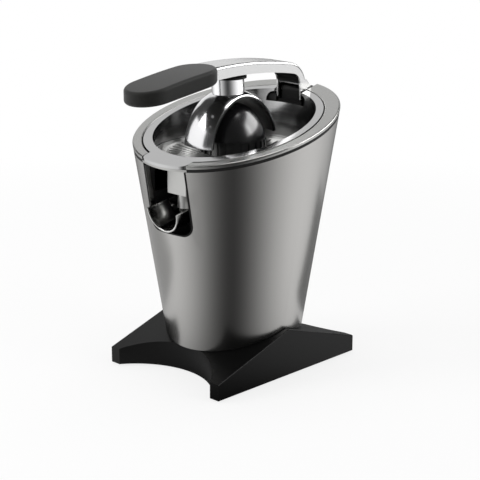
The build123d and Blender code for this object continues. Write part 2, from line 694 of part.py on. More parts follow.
def make_strainer():
    collar = CHIMNEY_R + BOWL_WALL + STRAINER_COLLAR_GAP
    low = BOWL_LEDGE_Z
    points = [(STRAINER_RIM_R, low), (STRAINER_RIM_R, low + STRAINER_T), (STRAINER_CONE_R, low + STRAINER_T)]
    points += [(STRAINER_DISH_R, STRAINER_DISH_Z + STRAINER_T)]
    points += [(collar + STRAINER_T, STRAINER_DISH_Z + STRAINER_T), (collar + STRAINER_T, STRAINER_COLLAR_Z)]
    points += [(collar, STRAINER_COLLAR_Z), (collar, STRAINER_DISH_Z)]
    points += [(STRAINER_DISH_R, STRAINER_DISH_Z), (STRAINER_CONE_R, low)]
    plate = turned(Polyline(*points, close=True))
    middle = (STRAINER_SLOT_IN + STRAINER_SLOT_OUT) / 2
    length = STRAINER_SLOT_OUT - STRAINER_SLOT_IN
    slot = Pos(middle, 0, low) * Box(length, STRAINER_SLOT_W, 2 * SUMP_H)
    slots = [Rot(0, 0, i * 360 / STRAINER_SLOTS) * slot for i in range(STRAINER_SLOTS)]
    return plate - slots


def reamer_outline(inset, low):
    """Reamer's profile from its axis to its skirt, drawn in by inset."""
    tip = (0, REAMER_TIP_Z - inset)
    crown = (REAMER_CROWN[0] - inset * 0.7, REAMER_CROWN[1] - inset * 0.7)
    drop = tip[1] - crown[1]
    cap_r = (crown[0] ** 2 + drop**2) / (2 * drop)
    brow = (crown[0] / 2, tip[1] - cap_r + sqrt(cap_r**2 - crown[0] ** 2 / 4))
    shoulder = (REAMER_SHOULDER[0] - inset * 0.9, REAMER_SHOULDER[1] - inset * 0.4)
    skirt = (REAMER_R - inset, REAMER_SKIRT_Z)
    lines = [ThreePointArc(skirt, shoulder, crown), ThreePointArc(crown, brow, tip)]
    lines += [Polyline(tip, (0, low), (REAMER_R - inset, low), skirt)]
    return lines


def make_reamer():
    hub_low = CHIMNEY_Z + TRAVEL + 1
    socket = extrude(RegularPolygon(SHAFT_R + HEX_GAP, 6), SHAFT_TOP_Z + HEX_GAP - hub_low)
    hub = rod(REAMER_HUB_R, hub_low, BIG) - Pos(0, 0, hub_low) * socket
    hollow = turned(reamer_outline(REAMER_WALL, REAMER_Z - 1)) - hub
    reamer = turned(reamer_outline(0, REAMER_Z)) - hollow
    half = REAMER_RIB_W / 2
    rib = block(REAMER_R - 1, REAMER_R + REAMER_RIB_OUT, -half, half, REAMER_Z, REAMER_SKIRT_Z - 1)
    for i in range(REAMER_RIBS):
        reamer += Rot(0, 0, i * 360 / REAMER_RIBS) * rib
    return reamer


# Lever

def arm_profile():
    """Closed side outline of the arm, from the grip to the heel."""
    toe = (ARM_TOE_Y, ARM_HEEL[1])
    low = (ARM_FRONT[0], ARM_FRONT_LOW_Z)
    lines = [ThreePointArc(ARM_FRONT, ARM_TOP, ARM_SHOULDER), ThreePointArc(ARM_SHOULDER, ARM_BEND, ARM_HEEL)]
    lines += [Line(ARM_HEEL, toe), ThreePointArc(toe, ARM_KNEE, ARM_CROOK)]
    lines += [ThreePointArc(ARM_CROOK, ARM_BELLY, low), Line(low, ARM_FRONT)]
    return lines


def arm_hollow(inset, foot, low):
    """Side outline inside the arm's top and rear walls, running down to foot behind and low in front."""
    front = (ARM_FRONT[0] - 1, ARM_FRONT[1] - inset)
    top = (ARM_TOP[0], ARM_TOP[1] - inset)
    shoulder = (ARM_SHOULDER[0] - inset * 0.35, ARM_SHOULDER[1] - inset)
    bend = (ARM_BEND[0] - inset * 0.7, ARM_BEND[1] - inset * 0.7)
    heel = (ARM_HEEL[0] - inset, ARM_HEEL[1])
    lines = [ThreePointArc(front, top, shoulder), ThreePointArc(shoulder, bend, heel)]
    lines += [Polyline(heel, (heel[0], foot), (ARM_FRONT[0] - 1, low), front)]
    return lines


def cheek():
    """Lower end of one side wall of the arm, round the hinge pin."""
    toe = ARM_TOE_Y + 0.6
    points = [(ARM_TOE_Y, ARM_HEEL[1] + 6), (ARM_HEEL[0] - 0.1, ARM_HEEL[1] + 6)]
    points += [(PIN_Y + CHEEK_R * 0.86, PIN_Z + CHEEK_R * 0.5)]
    points += [(PIN_Y, PIN_Z - CHEEK_LOW), (toe, PIN_Z - CHEEK_LOW)]
    plate = side_prism(Polyline(*points, close=True), ARM_HALF) + cross_rod(CHEEK_R, ARM_HALF, PIN_Y, PIN_Z)
    return plate


def make_arm_shell(grip):
    inner = ARM_HALF - ARM_WALL
    shell = side_prism(arm_profile(), ARM_HALF)
    high = [e for e in shell.edges() if abs(abs(e.center().X) - ARM_HALF) < 0.01]
    high = [e for e in high if e.center().Z > ARM_SHOULDER[1] or e.center().Y > ARM_SHOULDER[0] + 12]
    top_edges = [e for e in high if e.length > 20 and e.center().Z > ARM_HEEL[1] + 6]
    shell = fillet(ShapeList(top_edges), ARM_EDGE_R)
    shell += cheek()
    shell -= side_prism(arm_hollow(ARM_WALL, PIN_Z - 2 * CHEEK_R, PIN_Z - 2 * CHEEK_R), inner)
    shell -= block(-inner, inner, ARM_FRONT[0] - 1, PIN_Y + 2 * CHEEK_R, PIN_Z - 2 * CHEEK_R, ARM_HEEL[1])
    shell -= cross_rod(PIN_R + RUN_GAP, 2 * ARM_HALF, PIN_Y, PIN_Z)
    return shell - grip


def tang():
    """Steel-stiff tongue of the liner that carries the grip."""
    top = ARM_FRONT[1] - 2.5
    points = [(ARM_FRONT[0] + 14, top), (TANG_TIP_Y, top - TANG_DROP), (TANG_TIP_Y, top - TANG_DROP - TANG_T)]
    points += [(ARM_FRONT[0] + 14, top - TANG_T)]
    return side_prism(Polyline(*points, close=True), TANG_HALF)


def make_arm_liner(grip):
    inner = ARM_HALF - ARM_WALL - LINER_GAP
    liner = side_prism(arm_hollow(ARM_WALL + LINER_GAP, ARM_HEEL[1] - 2, ARM_HEEL[1] - 2), inner)
    liner &= Pos(0, 0, LINER_RISE) * side_prism(arm_profile(), ARM_HALF)
    liner -= block(-BIG, BIG, -BIG, BIG, 0, LINER_FOOT_Z)
    liner = liner - grip + tang()
    liner -= Pos(*DOME_BASE) * Rot(DOME_LEAN, 0, 0) * Cylinder(BOLT_R + SCREW_CLEAR, bolt_top() * 2)
    for y in GRIP_SCREW_Y:
        liner -= rod(SCREW_R + SCREW_CLEAR, 0, grip_low_z(y) + 2 * TANG_T, 0, y)
    return liner


def grip_low_z(y):
    """Height of the grip's underside, taken as a straight line."""
    rear, _, tip = GRIP_LOW
    return rear + (tip - rear) * (y - GRIP_REAR_Y) / (GRIP_TIP_Y - GRIP_REAR_Y)


def grip_body():
    """Grip as a solid: a long round-ended plan under an arched side view."""
    long_half = (GRIP_REAR_Y - GRIP_TIP_Y) / 2
    plan = Pos(0, GRIP_MID_Y) * Rot(0, 0, 90) * SlotOverall(2 * long_half, 2 * GRIP_HALF)
    rear = GRIP_REAR_Y + 5
    tip = GRIP_TIP_Y - 5
    lines = [ThreePointArc((rear, GRIP_TOP[0]), (GRIP_MID_Y, GRIP_TOP[1]), (tip, GRIP_TOP[2]))]
    lines += [Line((tip, GRIP_TOP[2]), (tip, GRIP_LOW[2]))]
    lines += [ThreePointArc((tip, GRIP_LOW[2]), (GRIP_MID_Y, GRIP_LOW[1]), (rear, GRIP_LOW[0]))]
    lines += [Line((rear, GRIP_LOW[0]), (rear, GRIP_TOP[0]))]
    body = extrude(plan, BIG) & side_prism(lines, 2 * GRIP_HALF)
    rims = [e for e in body.edges() if abs(e.tangent_at(0.5).Z) < 0.9]
    return fillet(ShapeList(rims), GRIP_EDGE_R)


def make_grip(body):
    grip = body - tang()
    for y in GRIP_SCREW_Y:
        seat = grip_low_z(y) + 2.0
        grip -= rod(SCREW_HEAD_R + 0.3, 0, seat, 0, y)
        grip -= rod(SCREW_R + SCREW_CLEAR, 0, seat + 20, 0, y) & block(-9, 9, y - 9, y + 9, 0, seat + 4)
    return grip


def make_grip_screws():
    return group(Pos(0, y, grip_low_z(y) + 2.0) * screw(TANG_T) for y in GRIP_SCREW_Y)


def dome_place():
    """Frame of the dome: its base centre, leaning towards the front."""
    return Pos(*DOME_BASE) * Rot(DOME_LEAN, 0, 0)


def collar_low_z():
    return ARM_FRONT_LOW_Z - COLLAR_GAP - COLLAR_T + 0.6


def bolt_top():
    """Height of the dome bolt's end above the dome's base."""
    return ARM_FRONT_LOW_Z + 6 - DOME_BASE[2]


def dome_outline(inset):
    """Dome's bell profile drawn in by inset, closed along its axis."""
    foot = (DOME_R - inset, 0 if inset == 0 else -1.0)
    shoulder = (DOME_SHOULDER[0] - inset * 0.92, DOME_SHOULDER[1] - inset * 0.3)
    crown = (DOME_CROWN[0] - inset * 0.75, DOME_CROWN[1] - inset * 0.65)
    brow = (DOME_BROW[0] - inset * 0.6, DOME_BROW[1] - inset * 0.8)
    top = (DOME_TOP[0] - inset * 0.4, DOME_TOP[1] - inset)
    lines = [ThreePointArc(foot, shoulder, crown), ThreePointArc(crown, brow, top)]
    lines += [Polyline(top, (0, top[1]), (0, foot[1]), foot)]
    return lines


def make_press_dome():
    dome = turned(dome_outline(0)) - turned(dome_outline(DOME_WALL))
    dome &= block(-DOME_HALF, DOME_HALF, -BIG, BIG, -BIG, BIG)
    cut_edges = dome.edges().filter_by(lambda e: abs(abs(e.center().X) - DOME_HALF) < 0.01)
    dome = chamfer(cut_edges, DOME_EDGE)
    dome -= rod(BOLT_R + SCREW_CLEAR, 0, BIG)
    return dome_place() * dome


def make_dome_neck():
    neck = dome_place() * rod(NECK_R, DOME_TOP[1], 2 * DOME_TOP[1])
    neck &= block(-BIG, BIG, -BIG, BIG, 0, collar_low_z())
    return neck - dome_place() * rod(BOLT_R + SCREW_CLEAR, 0, BIG)


def make_neck_collar(liner):
    low = collar_low_z()
    centre = (dome_place() * Pos(0, 0, low - DOME_BASE[2])).position
    collar = rod(COLLAR_R, low, low + COLLAR_T, centre.X, centre.Y)
    collar += rod(SPIGOT_R, low, low + 4 * COLLAR_T, centre.X, centre.Y)
    collar -= liner
    collar &= block(-BIG, BIG, -BIG, BIG, 0, low + 2 * COLLAR_T)
    return collar - dome_place() * rod(BOLT_R + SCREW_CLEAR, 0, BIG)


def make_dome_bolt():
    seat = DOME_TOP[1] - DOME_WALL
    bolt = rod(BOLT_HEAD_R, seat - BOLT_HEAD_T, seat) + rod(BOLT_R, seat, bolt_top())
    bolt -= Pos(0, 0, seat - BOLT_HEAD_T) * extrude(RegularPolygon(2.6, 6), BOLT_HEAD_T * 0.7)
    return dome_place() * bolt


# Hinge

def hinge_screw_places():
    return (-BRACKET_HALF * 0.6, BRACKET_HALF * 0.6)


def make_hinge_bracket():
    wide = BRACKET_HALF + 3
    foot = block(-wide, wide, PIN_Y - 7, PIN_Y + 7, POCKET_Z, POCKET_Z + BRACKET_BASE_T)
    post = block(-BRACKET_HALF, BRACKET_HALF, PIN_Y - BRACKET_R, PIN_Y + BRACKET_R, POCKET_Z, PIN_Z)
    bracket = foot + post + cross_rod(BRACKET_R, BRACKET_HALF, PIN_Y, PIN_Z)
    bracket -= cross_rod(PIN_R + 0.02, BIG / 2, PIN_Y, PIN_Z)
    for x in hinge_screw_places():
        bracket -= rod(SCREW_R + SCREW_CLEAR, POCKET_Z, POCKET_Z + 7, x, PIN_Y)
    return bracket


def make_hinge_screws():
    seat = POCKET_Z - POCKET_WALL
    return group(Pos(x, PIN_Y, seat) * screw(POCKET_WALL + 6) for x in hinge_screw_places())


def make_hinge_pin():
    return cross_rod(PIN_R, ARM_HALF + 1.0, PIN_Y, PIN_Z)


# Drip trough

def make_drip_trough():
    rear_y, rear_z = TROUGH_REAR
    pipe = Cylinder(TROUGH_R, TROUGH_LEN, align=LOW) - Pos(0, 0, TROUGH_WALL) * Cylinder(
        TROUGH_R - TROUGH_WALL, TROUGH_LEN, align=LOW)
    pipe -= Box(BIG, BIG, BIG, align=(Align.CENTER, Align.MAX, Align.CENTER))
    mouth = [f for f in pipe.faces().filter_by(Axis.Z) if f.center().Z > TROUGH_LEN - 0.1][0]
    pipe = fillet(mouth.edges().filter_by(GeomType.CIRCLE), TROUGH_LIP_R)
    trough = Pos(0, rear_y, rear_z) * Rot(90 + TROUGH_TILT, 0, 0) * Rot(0, 0, 180) * pipe
    inner = TROUGH_R - TROUGH_WALL
    trough -= block(-inner, inner, rear_y - 8, rear_y + 12, TROUGH_WEIR_Z, BIG)
    half = BAY_HALF - TROUGH_SIDE_GAP
    trough += cross_rod(TROUGH_HUB_R, half, TROUGH_PIN_Y, TROUGH_PIN_Z)
    return trough - cross_rod(TROUGH_PIN_R + RUN_GAP, BIG / 2, TROUGH_PIN_Y, TROUGH_PIN_Z)


def make_trough_pin():
    return cross_rod(TROUGH_PIN_R, BAY_HALF + BAY_WALL, TROUGH_PIN_Y, TROUGH_PIN_Z)


# Gears

def involute(radius, base):
    """Involute angle at a radius, in radians."""
    return sqrt(max((radius / base) ** 2 - 1, 0)) - acos(min(base / radius, 1))


def gear(teeth, thick, phase):
    """Spur gear standing on z = 0 with one tooth centred on phase (radians)."""
    pitch_r = teeth * GEAR_MODULE / 2
    base = pitch_r * cos(radians(PRESSURE_ANGLE))
    tip = pitch_r + GEAR_MODULE
    root = pitch_r - 1.25 * GEAR_MODULE
    half = pi / (2 * teeth) - BACKLASH / (4 * pitch_r) + involute(pitch_r, base)
    start = max(base, root)
    radii = [start + (tip - start) * i / 3 for i in range(4)]
    flank = [(r, half - involute(r, base)) for r in radii]
    if root < base:
        flank.insert(0, (root, flank[0][1]))
    points = []
    for i in range(teeth):
        centre = phase + 2 * pi * i / teeth
        points += [(r * cos(centre - a), r * sin(centre - a)) for r, a in flank]
        points += [(r * cos(centre + a), r * sin(centre + a)) for r, a in reversed(flank)]
    return extrude(make_face(Polyline(*points, close=True)), thick)


def make_motor_pinion():
    mesh = atan2(IDLER_Y - MOTOR_Y, IDLER_X)
    pinion = Pos(0, MOTOR_Y, WHEEL_Z) * gear(PINION_TEETH, WHEEL_T, mesh)
    return pinion - rod(MOTOR_SHAFT_R + 0.01, 0, BIG, 0, MOTOR_Y)


def make_idler_gear():
    wheel_mesh = atan2(IDLER_Y - MOTOR_Y, IDLER_X) + pi + pi / WHEEL_TEETH
    pinion_mesh = atan2(-IDLER_Y, -IDLER_X)
    idler = Pos(IDLER_X, IDLER_Y, WHEEL_Z) * gear(WHEEL_TEETH, WHEEL_T, wheel_mesh)
    idler += Pos(IDLER_X, IDLER_Y, WHEEL_Z + WHEEL_T) * gear(
        PINION_TEETH, IDLER_TOP_Z - WHEEL_Z - WHEEL_T, pinion_mesh)
    idler += rod(5.0, CASE_FLOOR_Z + 0.3, WHEEL_Z, IDLER_X, IDLER_Y)
    return idler - rod(AXLE_R + RUN_GAP, 0, BIG, IDLER_X, IDLER_Y)


def make_idler_axle():
    return rod(AXLE_R, CASE_Z + 0.5, LID_Z - 0.5, IDLER_X, IDLER_Y)


def make_output_gear():
    mesh = atan2(IDLER_Y, IDLER_X) + pi / OUTPUT_TEETH
    wheel = Pos(0, 0, OUTPUT_Z) * gear(OUTPUT_TEETH, OUTPUT_T, mesh)
    for i in range(6):
        angle = radians(60 * i)
        wheel -= rod(5.0, OUTPUT_Z - 1, BIG, 15.5 * cos(angle), 15.5 * sin(angle))
    return wheel - rod(SHAFT_R + 0.01, 0, BIG)


# Drive and press-to-start

def make_drive_shaft():
    shaft = rod(SHAFT_R, SHAFT_Z, SHAFT_HEX_Z)
    hexagon = extrude(RegularPolygon(SHAFT_R, 6), SHAFT_TOP_Z - SHAFT_HEX_Z)
    return shaft + Pos(0, 0, SHAFT_HEX_Z) * hexagon


def make_shaft_seal():
    seal = tube(SEAL_R, SHAFT_R + RUN_GAP, DECK_LOW_Z, DECK_LOW_Z + SEAL_T)
    return seal - tube(SEAL_R - 2, SHAFT_R + 2, DECK_LOW_Z + SEAL_T / 2, DECK_LOW_Z + SEAL_T)


def bush(low):
    """Plain bearing for the drive shaft."""
    return tube(PLUNGER_R, SHAFT_R + RUN_GAP, low, low + BUSH_LEN)


def make_lower_bush():
    return bush(CASE_BOSS_TOP - BUSH_LEN)


def make_upper_bush():
    return bush(DECK_LOW_Z - BUSH_LEN)


def make_thrust_plunger():
    plunger = rod(PLUNGER_R - RUN_GAP, PLUNGER_Z, PLUNGER_TOP)
    finger = block(-FINGER_REACH, 0, -FINGER_W / 2, FINGER_W / 2, PLUNGER_Z + 1, PLUNGER_Z + 1 + FINGER_T)
    return plunger + finger


def make_return_spring():
    low = CASE_FLOOR_Z + SPRING_WIRE_R
    height = PLUNGER_Z - CASE_FLOOR_Z - 2 * SPRING_WIRE_R
    coil_r = PLUNGER_R - 2 * SPRING_WIRE_R - 0.4
    path = Helix(height / SPRING_TURNS, height, coil_r)
    section = Plane(origin=path @ 0, z_dir=path % 0) * Circle(SPRING_WIRE_R)
    return Pos(0, 0, low) * sweep(section, path, is_frenet=True)


def switch_top():
    return CASE_FLOOR_Z + SWITCH_SIZE[2]


def make_microswitch():
    length, depth, height = SWITCH_SIZE
    body = Pos(SWITCH_X, 0, CASE_FLOOR_Z) * Box(length, depth, height, align=LOW)
    body = chamfer(body.edges().group_by(Axis.Z)[-1], 0.5)
    return body - rod(BUTTON_R + RUN_GAP, switch_top() - BUTTON_IN - TRAVEL - 0.3, BIG, button_x(), 0)


def button_x():
    return -FINGER_REACH + BUTTON_R + 0.5


def make_switch_button():
    return rod(BUTTON_R, switch_top() - BUTTON_IN, PLUNGER_Z + 1 - BUTTON_GAP, button_x(), 0)


# Gearbox

def post_places():
    """Three posts of the gearbox lid under the deck."""
    reach = CASE_R - POST_INSET
    return [(CASE_X + reach * cos(radians(a)), CASE_Y + reach * sin(radians(a))) for a in POST_ANGLES]


def make_gearbox_case():
    case = rod(CASE_R, CASE_Z, CASE_TOP_Z, CASE_X, CASE_Y)
    case -= rod(CASE_R - CASE_WALL, CASE_FLOOR_Z, CASE_TOP_Z, CASE_X, CASE_Y)
    case += rod(CASE_BOSS_R, CASE_FLOOR_Z, CASE_BOSS_TOP)
    for x, y in post_places():
        case += rod(POST_R, CASE_FLOOR_Z, CASE_TOP_Z, x, y)
        case -= rod(SCREW_R + SCREW_CLEAR, CASE_FLOOR_Z + 20, CASE_TOP_Z, x, y)
    case -= rod(PLUNGER_R, CASE_FLOOR_Z, CASE_BOSS_TOP)
    slot = FINGER_W / 2 + 0.3
    case -= block(-CASE_BOSS_R - 1, 0, -slot, slot, PLUNGER_Z - TRAVEL, PLUNGER_TOP)
    case -= rod(MOTOR_SHAFT_R + 1.5, 0, CASE_FLOOR_Z, 0, MOTOR_Y)
    case -= rod(AXLE_R + 0.01, 0, CASE_FLOOR_Z, IDLER_X, IDLER_Y)
    for x, y in bolt_places():
        case -= rod(MOTOR_BOLT_R + SCREW_CLEAR, CASE_Z - 1, CASE_FLOOR_Z + 1, x, y)
    return case


def make_gearbox_lid():
    lid = rod(CASE_R, CASE_TOP_Z, LID_Z, CASE_X, CASE_Y)
    lid += rod(LID_BOSS_R, CASE_TOP_Z, DECK_LOW_Z)
    for x, y in post_places():
        lid += rod(POST_R, LID_Z, DECK_LOW_Z, x, y)
        lid -= rod(SCREW_R + SCREW_CLEAR, 0, BIG, x, y)
    lid -= rod(PLUNGER_R, 0, BIG)
    return lid - rod(AXLE_R + 0.01, 0, LID_Z, IDLER_X, IDLER_Y)


def make_gearbox_screws():
    length = DECK_Z - CASE_TOP_Z + 12
    return group(Pos(x, y, DECK_Z) * Rot(180, 0, 0) * screw(length) for x, y in post_places())


# Motor

def bolt_places():
    """Four through bolts round the motor."""
    angles = [radians(a) for a in (45, 135, 225, 315)]
    return [(MOTOR_BOLT_RING * cos(a), MOTOR_Y + MOTOR_BOLT_RING * sin(a)) for a in angles]


def motor_tube(outer, inner, low, high):
    """Tube on the motor's axis."""
    return tube(outer, inner, low, high, 0, MOTOR_Y)


def sector(inner, outer, middle, half_angle, low, high):
    """Ring sector on the motor's axis, centred on an angle."""
    ring = motor_tube(outer, inner, low, high)
    angle = radians(half_angle)
    far = 2 * outer
    points = [(0, 0), (far * cos(angle), -far * sin(angle)), (far * cos(angle), far * sin(angle))]
    wedge = extrude(make_face(Polyline(*points, close=True)), high - low)
    return ring & (Pos(0, MOTOR_Y, low) * Rot(0, 0, middle) * wedge)


def motor_plate(low, bearing_low):
    """Motor end bracket with its bearing cup."""
    cup_r = BEARING_R + 2.0
    plate = motor_tube(BRACKET_PLATE_R, MOTOR_SHAFT_R + 1.0, low, low + BRACKET_PLATE_T)
    cup_low = min(low, bearing_low)
    cup_high = max(low + BRACKET_PLATE_T, bearing_low + BEARING_T)
    plate += motor_tube(cup_r, MOTOR_SHAFT_R + 1.0, cup_low, cup_high)
    plate -= rod(BEARING_R + 0.01, bearing_low, bearing_low + BEARING_T, 0, MOTOR_Y)
    for i in range(6):
        angle = radians(60 * i)
        plate -= rod(5.0, 0, BIG, 21 * cos(angle), MOTOR_Y + 21 * sin(angle))
    for x, y in bolt_places():
        plate -= rod(MOTOR_BOLT_R + SCREW_CLEAR, 0, BIG, x, y)
    return plate


def make_upper_motor_bracket():
    return motor_plate(CASE_Z - BRACKET_PLATE_T, CASE_Z - BRACKET_PLATE_T - BEARING_T + 1)


def make_lower_motor_bracket():
    return motor_plate(LOW_PLATE_Z, LOW_PLATE_Z + 1)


def bearing(low):
    """Ball bearing drawn as two races with a ball ring between them."""
    race = motor_tube(BEARING_R, MOTOR_SHAFT_R + 0.01, low, low + BEARING_T)
    groove_out = BEARING_R - 2.0
    groove_in = MOTOR_SHAFT_R + 2.0
    for z in (low, low + BEARING_T - 0.8):
        race -= motor_tube(groove_out, groove_in, z, z + 0.8)
    return race


def make_motor_bearings():
    return group([bearing(LOW_PLATE_Z + 1), bearing(CASE_Z - BRACKET_PLATE_T - BEARING_T + 1)])


def make_motor_bolts():
    bolts = []
    for x, y in bolt_places():
        bolt = rod(MOTOR_BOLT_R, LOW_PLATE_Z, CASE_FLOOR_Z, x, y)
        bolts.append(bolt + rod(MOTOR_BOLT_R * 1.9, LOW_PLATE_Z - 2, LOW_PLATE_Z, x, y))
    return group(bolts)


def make_stator_core():
    top = STATOR_Z + STATOR_H
    core = motor_tube(STATOR_R, YOKE_R, STATOR_Z, top)
    for middle in POLE_ANGLES:
        core += sector(ROTOR_R + AIR_GAP, YOKE_R + 1, middle, POLE_HALF_ANGLE, STATOR_Z, top)
    for x, y in bolt_places():
        core += rod(2.2 * MOTOR_BOLT_R, STATOR_Z, top, x, y) - rod(YOKE_R, 0, BIG, 0, MOTOR_Y)
        core -= rod(MOTOR_BOLT_R + SCREW_CLEAR, 0, BIG, x, y)
    return core


def make_field_coils():
    low = STATOR_Z - COIL_OVERHANG
    high = STATOR_Z + STATOR_H + COIL_OVERHANG
    inner = ROTOR_R + AIR_GAP + COIL_GAP
    return group(sector(inner, YOKE_R - 0.02, middle, COIL_HALF_ANGLE, low, high) for middle in COIL_ANGLES)


def make_rotor_shaft():
    return rod(MOTOR_SHAFT_R, MOTOR_SHAFT_Z, MOTOR_SHAFT_TOP, 0, MOTOR_Y)


def make_rotor_core():
    core = motor_tube(ROTOR_R, MOTOR_SHAFT_R + 0.01, STATOR_Z, STATOR_Z + STATOR_H)
    for i in range(ROTOR_SLOTS):
        slot = Pos(ROTOR_R, 0, STATOR_Z) * Box(2 * ROTOR_SLOT_D, ROTOR_SLOT_W, 3 * STATOR_H)
        core -= Pos(0, MOTOR_Y, 0) * Rot(0, 0, i * 360 / ROTOR_SLOTS) * slot
    return core


def make_rotor_windings():
    top = STATOR_Z + STATOR_H
    ends = [motor_tube(WINDING_R, MOTOR_SHAFT_R + 0.01, STATOR_Z - WINDING_H, STATOR_Z)]
    ends.append(motor_tube(WINDING_R, MOTOR_SHAFT_R + 0.01, top, top + WINDING_H))
    rounded = []
    for end in ends:
        rims = end.edges().filter_by(GeomType.CIRCLE)
        rounded.append(fillet(rims.filter_by(lambda e: e.radius > WINDING_R - 0.1), 1.2))
    return group(rounded)


def make_commutator():
    bars = motor_tube(COMMUTATOR_R, MOTOR_SHAFT_R + 0.01, COMMUTATOR_Z, COMMUTATOR_Z + COMMUTATOR_H)
    for i in range(ROTOR_SLOTS):
        cut = Pos(COMMUTATOR_R, 0, COMMUTATOR_Z) * Box(1.6, 0.6, 3 * COMMUTATOR_H)
        bars -= Pos(0, MOTOR_Y, 0) * Rot(0, 0, i * 360 / ROTOR_SLOTS) * cut
    return bars


def make_cooling_fan():
    fan = motor_tube(FAN_R, MOTOR_SHAFT_R + 0.01, FAN_Z, FAN_Z + 1.5)
    fan += motor_tube(6.0, MOTOR_SHAFT_R + 0.01, FAN_Z, FAN_Z + FAN_H)
    for i in range(FAN_BLADES):
        blade = block(9.0, FAN_R, -FAN_BLADE_T / 2, FAN_BLADE_T / 2, FAN_Z, FAN_Z + FAN_H)
        fan += Pos(0, MOTOR_Y, 0) * Rot(0, 0, i * 360 / FAN_BLADES) * blade
    return fan


def make_brush_holders():
    low = LOW_PLATE_Z + BRACKET_PLATE_T
    high = COMMUTATOR_Z + COMMUTATOR_H - 1
    inner = COMMUTATOR_R + 0.4
    outer = inner + BRUSH_LEN
    half = BRUSH_W / 2
    holders = []
    for side in (-1, 1):
        holder = block(inner, outer, MOTOR_Y - half, MOTOR_Y + half, COMMUTATOR_Z + 1, high)
        holder += block(inner + 4, outer, MOTOR_Y - half, MOTOR_Y + half, low, high)
        holders.append(holder if side > 0 else Pos(0, 2 * MOTOR_Y, 0) * Rot(0, 0, 180) * holder)
    return group(holders)


# All nodes

def build():
    """Every node of the juicer by name."""
    grip = grip_body()
    liner = make_arm_liner(grip)
    housing = housing_body()
    return {
        "base_stand": make_base_stand(),
        "bottom_cover": make_bottom_cover(),
        "rubber_feet": make_rubber_feet(),
        "cover_screws": make_cover_screws(),
        "cord_gland": make_cord_gland(),
        "terminal_block": make_terminal_block(),
        "steel_sleeve": make_steel_sleeve(),
        "inner_housing": make_inner_housing(housing),
        "bowl_well": make_bowl_well(housing),
        "housing_screws": make_housing_screws(),
        "notch_bezel": make_notch_bezel(),
        "top_gasket": make_top_gasket(),
        "top_ring": make_top_ring(),
        "juice_bowl": make_juice_bowl(),
        "juice_spout": make_juice_spout(),
        "strainer": make_strainer(),
        "reamer": make_reamer(),
        "arm_shell": make_arm_shell(grip),
        "arm_liner": liner,
        "grip": make_grip(grip),
        "grip_screws": make_grip_screws(),
        "press_dome": make_press_dome(),
        "dome_neck": make_dome_neck(),
        "neck_collar": make_neck_collar(liner),
        "dome_bolt": make_dome_bolt(),
        "hinge_bracket": make_hinge_bracket(),
        "hinge_screws": make_hinge_screws(),
        "hinge_pin": make_hinge_pin(),
        "drip_trough": make_drip_trough(),
        "trough_pin": make_trough_pin(),
        "drive_shaft": make_drive_shaft(),
        "shaft_seal": make_shaft_seal(),
        "lower_bush": make_lower_bush(),
        "upper_bush": make_upper_bush(),
        "thrust_plunger": make_thrust_plunger(),
        "return_spring": make_return_spring(),
        "microswitch": make_microswitch(),
        "switch_button": make_switch_button(),
        "output_gear": make_output_gear(),
        "idler_gear": make_idler_gear(),
        "idler_axle": make_idler_axle(),
        "motor_pinion": make_motor_pinion(),
        "gearbox_case": make_gearbox_case(),
        "gearbox_lid": make_gearbox_lid(),
        "gearbox_screws": make_gearbox_screws(),
        "upper_motor_bracket": make_upper_motor_bracket(),
        "lower_motor_bracket": make_lower_motor_bracket(),
        "motor_bearings": make_motor_bearings(),
        "motor_bolts": make_motor_bolts(),
        "stator_core": make_stator_core(),
        "field_coils": make_field_coils(),
        "rotor_shaft": make_rotor_shaft(),
        "rotor_core": make_rotor_core(),
        "rotor_windings": make_rotor_windings(),
        "commutator": make_commutator(),
        "cooling_fan": make_cooling_fan(),
        "brush_holders": make_brush_holders(),
    }


os.makedirs("parts", exist_ok=True)
for node, shape in build().items():
    export_step(Pos(0, FRAME_Y, 0) * shape, f"parts/{node}.step")
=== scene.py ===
# %% [markdown]
# # An electric citrus juicer with a press lever
#
# The solid pieces of the juicer come from its construction model, already in place and in metres.
# This lesson gives them their finishes, adds the small shapes that only the eye needs, and sets up
# the camera and the studio. Each step says what the piece is on the real juicer before it is made.

import json
import math

import bmesh
import bpy
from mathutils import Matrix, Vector


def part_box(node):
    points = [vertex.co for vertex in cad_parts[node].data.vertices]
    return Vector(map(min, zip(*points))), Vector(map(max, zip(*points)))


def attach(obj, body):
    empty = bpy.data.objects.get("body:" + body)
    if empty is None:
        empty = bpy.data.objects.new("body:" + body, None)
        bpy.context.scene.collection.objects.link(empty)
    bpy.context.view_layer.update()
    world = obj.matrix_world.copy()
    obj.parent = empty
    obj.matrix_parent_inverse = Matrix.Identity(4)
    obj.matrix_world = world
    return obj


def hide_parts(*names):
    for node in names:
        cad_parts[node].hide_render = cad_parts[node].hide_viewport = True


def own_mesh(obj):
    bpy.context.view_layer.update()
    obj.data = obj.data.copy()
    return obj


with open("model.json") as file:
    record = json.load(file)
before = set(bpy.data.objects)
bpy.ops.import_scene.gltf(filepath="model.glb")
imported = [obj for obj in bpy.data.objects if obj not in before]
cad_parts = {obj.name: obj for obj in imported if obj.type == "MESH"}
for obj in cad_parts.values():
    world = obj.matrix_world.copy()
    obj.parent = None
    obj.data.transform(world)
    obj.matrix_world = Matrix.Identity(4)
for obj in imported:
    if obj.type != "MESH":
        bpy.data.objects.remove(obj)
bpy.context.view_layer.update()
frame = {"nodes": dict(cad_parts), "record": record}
nodes = frame["nodes"]

